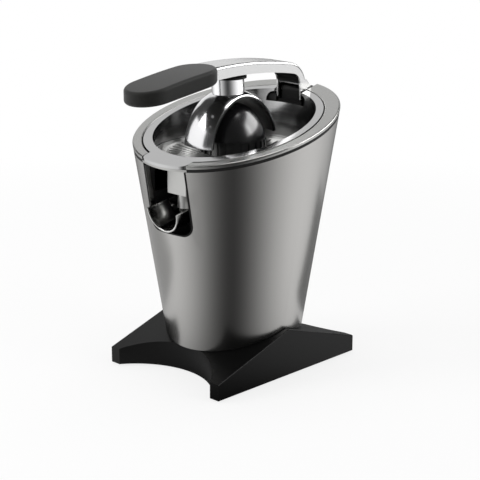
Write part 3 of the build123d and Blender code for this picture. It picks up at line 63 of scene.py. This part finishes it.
# %% [markdown]
# ## Writing shaders as sums
#
# A finish is a small network of nodes. Wiring them one by one is slow to read, so one small class
# wraps a socket and lets plain Python operators add the Math nodes. Every other kind of node comes
# from a single method that first applies a node's settings and then fills in its sockets.


# %% A socket that understands arithmetic
class Sock:
    """A shader socket that can be added, multiplied and compared like a number."""

    def __init__(self, tree, socket):
        self.tree = tree
        self.socket = socket

    def math(self, operation, other=None, swap=False):
        values = [self] if other is None else [self, other]
        if swap:
            values.reverse()
        return self.tree.node("ShaderNodeMath", {"operation": operation}, dict(enumerate(values)))

    def __add__(self, other):
        return self.math("ADD", other)

    __radd__ = __add__

    def __sub__(self, other):
        return self.math("SUBTRACT", other)

    def __rsub__(self, other):
        return self.math("SUBTRACT", other, swap=True)

    def __mul__(self, other):
        return self.math("MULTIPLY", other)

    __rmul__ = __mul__

    def __truediv__(self, other):
        return self.math("DIVIDE", other)

    def __gt__(self, other):
        return self.math("GREATER_THAN", other)


class Tree:
    """A material's or world's node tree with one way to add a node."""

    def __init__(self, owner):
        owner.use_nodes = True
        self.nodes = owner.node_tree.nodes
        self.links = owner.node_tree.links
        self.nodes.clear()

    def node(self, kind, settings=None, inputs=None, output=0):
        made = self.nodes.new(kind)
        for name, value in (settings or {}).items():
            if name == "stops":
                elements = made.color_ramp.elements
                while len(elements) < len(value):
                    elements.new(0.5)
                for element, (place, colour) in zip(elements, value):
                    element.position = place
                    element.color = colour
            else:
                setattr(made, name, value)
        for key, value in (inputs or {}).items():
            if isinstance(value, Sock):
                self.links.new(value.socket, made.inputs[key])
            else:
                made.inputs[key].default_value = value
        return Sock(self, made.outputs[output]) if made.outputs else made


print("shader helper ready")

# %% [markdown]
# ## Finishes
#
# Metal, plastic and rubber all use the same Principled shader with different numbers. What varies
# over a surface is kept to colour, roughness and a very shallow bump. Three patterns are enough: an
# even grain for moulded and blasted surfaces, the same grain stretched for brushed sheet, and rings
# round the drive axis for pieces that were spun or turned. The patterns read Object coordinates, so
# they stay on their piece when it moves.

# %% Grain and turning lines
AXIS_Y = 0.01325          # the drive axis stands this far behind the middle of the stand


def grain(tree, scale, stretch=(1.0, 1.0, 1.0)):
    """Fine noise in the piece's own coordinates, drawn out along its brushing."""
    place = tree.node("ShaderNodeTexCoord", output=3)
    drawn = tree.node("ShaderNodeMapping", {}, {0: place, 3: stretch})
    return tree.node("ShaderNodeTexNoise", {}, {"Vector": drawn, "Scale": scale, "Detail": 3.0})


def turning_lines(tree, scale):
    """Noise in rings round the drive axis, as spinning and turning leave it."""
    place = tree.node("ShaderNodeTexCoord", output=3)
    flat = tree.node("ShaderNodeMapping", {}, {0: place, 1: (0.0, -AXIS_Y, 0.0), 3: (1.0, 1.0, 0.0)})
    radius = tree.node("ShaderNodeVectorMath", {"operation": "LENGTH"}, {0: flat}, output=1)
    height = tree.node("ShaderNodeSeparateXYZ", {}, {0: place}, output=2)
    ring = tree.node("ShaderNodeCombineXYZ", {}, {0: radius, 2: height})
    return tree.node("ShaderNodeTexNoise", {}, {"Vector": ring, "Scale": scale, "Detail": 2.0})


# %% [markdown]
# One function then makes every plain finish. Its pattern moves the roughness by a little, lifts the
# surface by a tenth of a millimetre at most, and may shade the colour. A coat is the clear skin of a
# glossy moulding, and sheen is the soft bloom of a rubbery grip.

# %% One function for every plain finish
COAT_ROUGHNESS = 0.2
SHEEN_ROUGHNESS = 0.4
BUMP_STRENGTH = 0.6


def finish(name, colour, metallic, roughness, spread=0.05, scale=900.0, stretch=(1, 1, 1), rings=False,
           bump=0.0, shade=0.0, coat=0.0, specular=0.5, sheen=0.0):
    """A Principled finish with one fine pattern: its roughness, height in metres and colour follow it."""
    made = bpy.data.materials.new(name)
    tree = Tree(made)
    pattern = turning_lines(tree, scale) if rings else grain(tree, scale, stretch)
    inputs = {"Base Color": (*colour, 1.0), "Metallic": metallic,
              "Roughness": (pattern - 0.5) * (2.0 * spread) + roughness,
              "Coat Weight": coat, "Coat Roughness": COAT_ROUGHNESS, "Specular IOR Level": specular,
              "Sheen Weight": sheen, "Sheen Roughness": SHEEN_ROUGHNESS}
    if shade:
        darker = tuple(value * (1.0 - shade) for value in colour)
        lighter = tuple(value * (1.0 + shade) for value in colour)
        inputs["Base Color"] = tree.node("ShaderNodeMix", {"data_type": "RGBA"},
                                         {0: pattern, 6: (*darker, 1.0), 7: (*lighter, 1.0)}, output=2)
    if bump:
        inputs["Normal"] = tree.node(
            "ShaderNodeBump", {}, {"Height": pattern, "Distance": bump, "Strength": BUMP_STRENGTH})
    shader = tree.node("ShaderNodeBsdfPrincipled", {}, inputs)
    tree.node("ShaderNodeOutputMaterial", {}, {"Surface": shader})
    return made


# %% [markdown]
# The finishes are a table. Steel differs mostly in how it was worked: the sleeve is brushed upward, the
# ring and the bowl show turning lines, and the arm has an even grain. The mouldings that show are all
# black or nearly so, and differ in gloss. The last rows are for what is inside the body.

# %% The plain finishes
LOOKS = {
    "satin_steel": dict(colour=(0.40, 0.395, 0.385), metallic=1.0, roughness=0.26, spread=0.02, scale=60.0,
                        stretch=(40, 40, 1)),
    "ring_steel": dict(colour=(0.40, 0.40, 0.39), metallic=1.0, roughness=0.30, spread=0.10, scale=1400.0,
                       rings=True),
    "polished_steel": dict(colour=(0.46, 0.46, 0.46), metallic=1.0, roughness=0.12, spread=0.04, scale=900.0,
                           rings=True),
    "silver_arm": dict(colour=(0.60, 0.60, 0.60), metallic=1.0, roughness=0.26, spread=0.03, scale=1600.0,
                       bump=0.00001),
    "trough_steel": dict(colour=(0.56, 0.56, 0.55), metallic=1.0, roughness=0.16, spread=0.04, scale=50.0,
                         stretch=(30, 1, 30)),
    "spout_steel": dict(colour=(0.44, 0.44, 0.43), metallic=1.0, roughness=0.34, spread=0.05, scale=700.0),
    "fastener_steel": dict(colour=(0.55, 0.55, 0.55), metallic=1.0, roughness=0.30, spread=0.10,
                           scale=1500.0),
    "soft_grip": dict(colour=(0.013, 0.013, 0.012), metallic=0.0, roughness=0.60, spread=0.05, scale=1500.0,
                      bump=0.00008, specular=0.2, sheen=0.3),
    "gloss_black": dict(colour=(0.008, 0.008, 0.009), metallic=0.0, roughness=0.26, spread=0.03, scale=150.0,
                        coat=0.6, specular=1.0),
    "black_plastic": dict(colour=(0.003, 0.003, 0.003), metallic=0.0, roughness=0.36, spread=0.04,
                          scale=1200.0, bump=0.00002, specular=0.16),
    "black_rubber": dict(colour=(0.010, 0.010, 0.010), metallic=0.0, roughness=0.60, spread=0.08,
                         scale=1000.0, bump=0.00003, specular=0.3),
    "housing_plastic": dict(colour=(0.012, 0.012, 0.012), metallic=0.0, roughness=0.35, spread=0.06,
                            scale=1100.0, bump=0.00002),
    "gear_plastic": dict(colour=(0.75, 0.73, 0.64), metallic=0.0, roughness=0.45, spread=0.06, scale=600.0,
                         shade=0.05),
    "lamination_steel": dict(colour=(0.30, 0.30, 0.31), metallic=1.0, roughness=0.40, spread=0.10, scale=20.0,
                             stretch=(0.1, 0.1, 100), bump=0.00005, shade=0.15),
    "copper": dict(colour=(0.72, 0.34, 0.18), metallic=1.0, roughness=0.35, spread=0.10, scale=30.0,
                   stretch=(60, 60, 1), bump=0.00010, shade=0.20),
    "bronze": dict(colour=(0.58, 0.42, 0.20), metallic=1.0, roughness=0.35, spread=0.12, scale=2000.0,
                   shade=0.10),
}
finishes = {name: finish(name, **look) for name, look in LOOKS.items()}
print("plain finishes:", len(finishes))

# %% [markdown]
# ## The press dome
#
# The dome is chrome. Outside it is bright, and its inside and its cut edges are painted near-black: a painted
# dark reflection of the dark inside of the juicer. The two zones could be two materials, but the dome is one
# solid, so one material divides it by place: the point is moved into the dome's own leaning frame, its height
# is squeezed until the bell becomes a ball, and whatever lies deeper than the skin gets the painted dark
# reflection.

# %% Bright outside, painted dark reflection inside
DOME_FOOT = (0.0, AXIS_Y - 0.0035, 0.2167)      # middle of the dome's lower edge
DOME_LEAN = math.radians(3.8)
DOME_SQUEEZE = 0.7735                           # height factor that rounds the bell to a ball
DOME_SINK = 0.0146                              # that ball's middle, under the lower edge
DOME_SKIN = 0.0464                              # the ball's radius just below the bright skin
# The near-black colour and its roughness are a painted dark reflection on the chrome dome's inside and cut
# edges
DOME_PAINTED_DARK = (0.006, 0.006, 0.006, 1.0)
DOME_BRIGHT = (0.80, 0.80, 0.81, 1.0)
DOME_DULL = 0.30                                # roughness of the black
DOME_POLISH = 0.17                              # how much smoother the bright skin is
DOME_LINES = 700.0                              # scale of its turning lines
DOME_LINES_DEPTH = 0.05                         # and what they add to the roughness

dome_look = bpy.data.materials.new("chrome")
tree = Tree(dome_look)
spot = tree.node("ShaderNodeMapping", {"vector_type": "TEXTURE"}, {
    0: tree.node("ShaderNodeTexCoord", output=3), 1: DOME_FOOT, 2: (DOME_LEAN, 0.0, 0.0)})
ball = tree.node("ShaderNodeMapping", {}, {
    0: spot, 1: (0.0, 0.0, DOME_SQUEEZE * DOME_SINK), 3: (1.0, 1.0, DOME_SQUEEZE)})
depth = tree.node("ShaderNodeVectorMath", {"operation": "LENGTH"}, {0: ball}, output=1)
bright = depth > DOME_SKIN
rings = turning_lines(tree, DOME_LINES)
skin = tree.node("ShaderNodeMix", {"data_type": "RGBA"}, {
    0: bright, 6: DOME_PAINTED_DARK, 7: DOME_BRIGHT}, output=2)
shader = tree.node("ShaderNodeBsdfPrincipled", {}, {
    "Base Color": skin, "Metallic": bright,
    "Roughness": DOME_DULL - bright * DOME_POLISH + rings * DOME_LINES_DEPTH})
tree.node("ShaderNodeOutputMaterial", {}, {"Surface": shader})
finishes["chrome"] = dome_look
print("dome finish ready")

# %% [markdown]
# Every solid names the finish it wears, so handing them out is one loop.

# %% Hand out the finishes
slot_of = {s["node"]: s["material_slot"] for s in frame["record"]["subparts"]}
for name, piece in nodes.items():
    piece.data.materials.clear()
    piece.data.materials.append(finishes[slot_of[name]])
print("finishes:", len(finishes))

# %% [markdown]
# ## Steel returns in the notch
#
# The edge of the sleeve is turned inward at both sides of the front notch, which shows as a grey band
# beside the dark bay. Each return could be a bent sheet, but it is short and flat, so it starts as a
# thin block on the inside of the trim. Its ends are then pushed along Y until it leans as the sleeve
# does, and a small bevel takes the sharpness off its edges.

# %% Selecting by place
CONE_FOOT_R = 0.0595    # radius of the sleeve's cone at the floor
CONE_TAPER = 0.158      # and how much it gains with height


def select_where(test):
    """In edit mode, selects the vertices whose place passes a test, and nothing else."""
    mesh = bmesh.from_edit_mesh(bpy.context.active_object.data)
    for vertex in mesh.verts:
        vertex.select_set(test(vertex.co))
    mesh.select_flush_mode()
    bmesh.update_edit_mesh(bpy.context.active_object.data)


def add_block(name, middle, size):
    """A block at its size and place, with its object left at the origin."""
    bpy.ops.object.select_all(action="DESELECT")
    bpy.ops.mesh.primitive_cube_add(size=1.0, location=middle, scale=size)
    block = bpy.context.active_object
    block.name = name
    bpy.ops.object.transform_apply(location=True, rotation=True, scale=True)
    return block


def round_edges(piece, width):
    """Rounds every edge a little with a bevel that is applied at once."""
    bevel = piece.modifiers.new("edges", "BEVEL")
    bevel.width = width
    bevel.segments = 2
    bpy.ops.object.modifier_apply(modifier="edges")


def wear(piece, slot, body):
    """Gives a piece its finish and the body that it rides on."""
    piece.data.materials.append(finishes[slot])
    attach(piece, body)


# %% Two leaning strips
TRIM_WALL = 0.0015      # thickness of the notch's trim
RETURN_T = 0.0004
RETURN_DEPTH = 0.0054
RETURN_SET = 0.0002     # how far its front edge lies behind the sleeve's face
RETURN_ABOVE = 0.013    # its lower end, above the trim's foot
RETURN_BELOW = 0.002    # its upper end, below the trim's top
RETURN_EDGE = 0.00012   # rounding of its edges
trim_low, trim_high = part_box("notch_bezel")
return_x = trim_high[0] - TRIM_WALL - RETURN_T / 2
return_low = trim_low[2] + RETURN_ABOVE
return_top = trim_high[2] - RETURN_BELOW
return_mid = (return_low + return_top) / 2


def sleeve_y(height):
    """Y of the sleeve's face at the returns, at a height."""
    return AXIS_Y - math.sqrt((CONE_FOOT_R + CONE_TAPER * height) ** 2 - return_x ** 2)


for name, side in (("notch_return_left", -1), ("notch_return_right", 1)):
    middle_y = sleeve_y(return_mid) + RETURN_SET + RETURN_DEPTH / 2
    strip = add_block(name, (side * return_x, middle_y, return_mid),
                      (RETURN_T, RETURN_DEPTH, return_top - return_low))
    bpy.ops.object.mode_set(mode="EDIT")
    for height in (return_low, return_top):
        select_where(lambda spot: abs(spot.z - height) < 0.001)
        bpy.ops.transform.translate(value=(0.0, sleeve_y(height) - sleeve_y(return_mid), 0.0))
    bpy.ops.object.mode_set(mode="OBJECT")
    round_edges(strip, RETURN_EDGE)
    wear(strip, "satin_steel", "housing")
    print(name, "leans by", round(sleeve_y(return_top) - sleeve_y(return_low), 4))

# %% [markdown]
# ## Screw recesses
#
# Four screws hold the bottom cover, and each head has a cross recess. The heads are finished solids, so
# the shade in each recess is painted: a thin dark cross plate on the face of each. It grows from one small
# square block: its four sides are extruded outward together, which gives the cross in one step.

# %% A cross of painted recess shade on each cover screw
CROSS_W = 0.0008
CROSS_REACH = 0.0010
CROSS_T = 0.0002
CROSS_EDGE = 0.00004
HEAD_R = 0.0030
screw_low, screw_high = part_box("cover_screws")
for number, (x, y) in enumerate((x, y) for x in (screw_low[0] + HEAD_R, screw_high[0] - HEAD_R)
                                for y in (screw_low[1] + HEAD_R, screw_high[1] - HEAD_R)):
    # Each black plate is painted shade standing for the shadow inside the cross recess
    cross = add_block(f"painted_recess_shade_{number + 1}", (x, y, screw_low[2]), (CROSS_W, CROSS_W, CROSS_T))
    bpy.ops.object.mode_set(mode="EDIT")
    bpy.ops.mesh.select_mode(type="FACE")
    mesh = bmesh.from_edit_mesh(cross.data)
    for face in mesh.faces:
        face.select_set(abs(face.normal.z) < 0.5)
    bmesh.update_edit_mesh(cross.data)
    bpy.ops.mesh.extrude_faces_move(TRANSFORM_OT_shrink_fatten={"value": CROSS_REACH})
    bpy.ops.mesh.select_mode(type="VERT")
    bpy.ops.object.mode_set(mode="OBJECT")
    round_edges(cross, CROSS_EDGE)
    wear(cross, "black_rubber", "housing")
    print(cross.name, "width", round(cross.dimensions.x, 5))

# %% [markdown]
# ## The return spring
#
# A small coil spring under the thrust plunger lifts the reamer off the switch. It shortens when the
# plunger is pressed down. Here a separate coil stands for it; nothing in this script makes it shorten. The
# wire starts as a small circle beside the axis. The Screw modifier winds it up into a coil, both ends are
# closed, and the coil is lifted onto its seat.

# %% A coil for the return spring
WIRE_R = 0.0005
WIRE_SIDES = 12
COIL_TURNS = 5
TURN_STEPS = 24
spring_low, spring_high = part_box("return_spring")
spring_tall = spring_high[2] - spring_low[2]
coil_r = (spring_high[0] - spring_low[0]) / 2 - WIRE_R
bpy.ops.object.select_all(action="DESELECT")
bpy.ops.mesh.primitive_circle_add(vertices=WIRE_SIDES, radius=WIRE_R, location=(coil_r, 0.0, 0.0),
                                  rotation=(math.pi / 2, 0.0, 0.0))
coil = bpy.context.active_object
coil.name = "spring_coil"
bpy.ops.object.transform_apply(location=True, rotation=True, scale=True)
winding = coil.modifiers.new("winding", "SCREW")
winding.angle = 2 * math.pi * COIL_TURNS
winding.screw_offset = spring_tall - 2 * WIRE_R
winding.steps = TURN_STEPS * COIL_TURNS
winding.render_steps = winding.steps
bpy.ops.object.modifier_apply(modifier="winding")
bpy.ops.object.mode_set(mode="EDIT")
bpy.ops.mesh.select_all(action="SELECT")
bpy.ops.mesh.fill_holes(sides=0)
bpy.ops.mesh.normals_make_consistent(inside=False)
bpy.ops.transform.translate(value=(0.0, AXIS_Y, spring_low[2] + WIRE_R))
bpy.ops.object.mode_set(mode="OBJECT")
wear(coil, slot_of["return_spring"], "housing")
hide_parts("return_spring")
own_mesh(coil)
print("spring:", [round(v, 4) for v in coil.dimensions], "height", round(spring_tall, 4))

# %% [markdown]
# ## Camera
#
# The camera was worked out from the juicer's outlines. It stands 45 degrees round to the right of the
# front and looks down by 16 degrees. Its lens is long, so the body hardly tapers with distance.

# %% Camera
CAMERA_PLACE = Vector((0.9519, -0.95165, 0.5092))
CAMERA_BACK = Vector((0.6749, -0.6841, 0.2765))
CAMERA_RIGHT = Vector((0.7119, 0.7023, 0.0))
CAMERA_UP = Vector((-0.1942, 0.1968, 0.9610))
CAMERA_AHEAD = Vector((0.7023, -0.7119, 0.0))
AIM_RIGHT = 0.004485
AIM_UP = -0.001156
LENS_MM = 112.27

camera_data = bpy.data.cameras.new("camera")
camera_data.lens = LENS_MM
camera_data.sensor_width = 36.0
camera = bpy.data.objects.new("camera", camera_data)
bpy.context.scene.collection.objects.link(camera)
camera.location = CAMERA_PLACE
aim = CAMERA_RIGHT * AIM_RIGHT + CAMERA_UP * AIM_UP - CAMERA_BACK
camera.rotation_mode = "QUATERNION"
camera.rotation_quaternion = aim.to_track_quat("-Z", "Y")
bpy.context.scene.camera = camera
print("camera:", tuple(round(v, 3) for v in camera.location))

# %% [markdown]
# ## Studio
#
# A white floor, three large soft lamps and a few cards. Polished metal only shows its shape when it has
# light and dark things to reflect. So the room is dark to it, bright cards stand where a photographer
# would put soft boxes, and dim ones lie on the floor as black flags would. Only reflections see them.
#
# The floor has three faces. The camera sees it nearly white, with a soft shadow under the juicer. Polished
# metal sees it dark ahead and behind and bright at the sides, which draws the sleeve's long bands of light
# and dark. All other light sees plain white paper.

# %% Floor and world
FLOOR_PAPER = (0.9, 0.9, 0.9, 1.0)
WHITE = (1.0, 1.0, 1.0, 1.0)
FLOOR_WHITE = 0.80      # how far the floor is lifted to white for the camera, beside the juicer
FLOOR_SIZE = 8.0        # side of the floor, in metres
FLOOR_FADE = 0.9        # distance over which it then turns quite white, in metres
FLOOR_AHEAD = 0.07      # what metal sees in the floor straight in front of it and behind it
FLOOR_SIDES = 1.25      # and how much more it sees to the sides
WORLD_LIGHT = 0.50      # plain light from all round
WORLD_SHEEN = 0.05      # what polished metal sees in the room


def plain_plane(name, size, place, facing):
    """A square card that faces a point."""
    bpy.ops.object.select_all(action="DESELECT")
    bpy.ops.mesh.primitive_plane_add(size=1.0, location=(0, 0, 0))
    card = bpy.context.active_object
    card.name = name
    card.scale = (size[0], size[1], 1.0)
    card.location = place
    card.rotation_mode = "QUATERNION"
    card.rotation_quaternion = (Vector(facing) - Vector(place)).to_track_quat("Z", "Y")
    return card


floor = plain_plane("floor", (FLOOR_SIZE, FLOOR_SIZE), (0, 0, 0), (0, 0, 1))
floor_look = bpy.data.materials.new("floor_white")
tree = Tree(floor_look)
to_camera = tree.node("ShaderNodeLightPath", output=0)
to_gloss = tree.node("ShaderNodeLightPath", output=3)
paper = tree.node("ShaderNodeBsdfDiffuse", {}, {"Color": FLOOR_PAPER})
white = tree.node("ShaderNodeEmission", {}, {"Color": WHITE, "Strength": 1.0})
place = tree.node("ShaderNodeTexCoord", output=3)
ahead = tree.node("ShaderNodeVectorMath", {"operation": "DOT_PRODUCT"}, {0: place, 1: CAMERA_AHEAD}, output=1)
aside = tree.node("ShaderNodeVectorMath", {"operation": "DOT_PRODUCT"}, {0: place, 1: CAMERA_RIGHT}, output=1)
share = (aside * aside) / (ahead * ahead + aside * aside + 0.0001)
dull = tree.node("ShaderNodeEmission", {}, {"Color": share * FLOOR_SIDES + FLOOR_AHEAD})
away = tree.node("ShaderNodeVectorMath", {"operation": "LENGTH"}, {0: place}, output=1)
fade = tree.node("ShaderNodeMath", {"operation": "MULTIPLY", "use_clamp": True},
                 {0: away, 1: FLOOR_SIZE / FLOOR_FADE})
lift = fade * fade * (1.0 - FLOOR_WHITE) + FLOOR_WHITE
seen = tree.node("ShaderNodeMixShader", {}, {0: to_camera * lift, 1: paper, 2: white})
tree.node("ShaderNodeOutputMaterial", {}, {"Surface": tree.node(
    "ShaderNodeMixShader", {}, {0: to_gloss, 1: seen, 2: dull})})
floor.data.materials.append(floor_look)

world = bpy.data.worlds.new("studio")
bpy.context.scene.world = world
tree = Tree(world)
to_camera = tree.node("ShaderNodeLightPath", output=0)
to_gloss = tree.node("ShaderNodeLightPath", output=3)
strength = to_camera * (1.0 - WORLD_LIGHT) + to_gloss * (WORLD_SHEEN - WORLD_LIGHT) + WORLD_LIGHT
glow = tree.node("ShaderNodeBackground", {}, {"Color": WHITE, "Strength": strength})
tree.node("ShaderNodeOutputWorld", {}, {"Surface": glow})
bpy.context.scene.view_settings.view_transform = "Standard"
print("floor and world ready")

# %% [markdown]
# Three lamps light the pieces that aren't polished: one from the left of the front, one from the right
# and one overhead. They are large, so that no shadow has a hard edge.


# %% Lamps
def soft_lamp(name, size, place, facing, watts):
    """A large square area lamp."""
    data = bpy.data.lights.new(name, "AREA")
    data.shape = "RECTANGLE"
    data.size, data.size_y = size
    data.energy = watts
    lamp = bpy.data.objects.new(name, data)
    bpy.context.scene.collection.objects.link(lamp)
    lamp.location = place
    lamp.rotation_mode = "QUATERNION"
    lamp.rotation_quaternion = (Vector(facing) - Vector(place)).to_track_quat("-Z", "Y")
    return lamp


MIDDLE = (0.0, 0.0, 0.2)     # what the lamps and the standing cards face
soft_lamp("key_lamp", (0.7, 0.9), (-0.75, -1.05, 0.95), MIDDLE, 9.0)
soft_lamp("side_lamp", (0.5, 0.9), (1.3, 0.45, 0.75), MIDDLE, 4.0)
soft_lamp("top_lamp", (0.9, 0.9), (-0.1, 0.1, 1.6), MIDDLE, 7.0)
print("lamps ready")

# %% [markdown]
# Each card is a plane with one level of light. The left one brightens the front of the dome, the right
# one puts a highlight on the reamer, and the high one lights the ring and the flange. The cards that lie
# on the floor darken the edges of the sleeve, so that it looks round.


# %% Cards
def card(name, size, place, facing, level):
    """A flat card of one grey level that only reflections see."""
    made = plain_plane(name, size, place, facing)
    look = bpy.data.materials.new(name)
    tree = Tree(look)
    tree.node("ShaderNodeOutputMaterial", {}, {"Surface": tree.node(
        "ShaderNodeEmission", {}, {"Color": WHITE, "Strength": level})})
    made.data.materials.append(look)
    made.visible_camera = False
    made.visible_diffuse = False
    made.visible_shadow = False
    made.visible_transmission = False
    return made


card("card_stripe", (0.16, 0.8), (-0.20, -1.05, 0.004), (-0.20, -1.05, 1.0), 0.03)
card("card_left", (1.3, 0.8), (-0.95, -0.90, 0.45), MIDDLE, 1.1)
card("card_right", (1.6, 0.9), (0.75, 0.95, 0.95), MIDDLE, 4.2)
card("card_shade_left", (0.34, 0.42), (-0.33, 0.01, 0.003), (-0.33, 0.01, 1.0), 0.55)
card("card_shade_rear", (0.36, 0.36), (-0.06, 0.34, 0.003), (-0.06, 0.34, 1.0), 0.25)
card("card_rear", (2.4, 0.7), (-1.2, 1.2, 0.70), (0.0, 0.0, 0.28), 0.95)
card("card_high", (0.9, 0.7), (-0.95, 0.66, 1.05), MIDDLE, 0.90)
print("cards ready")
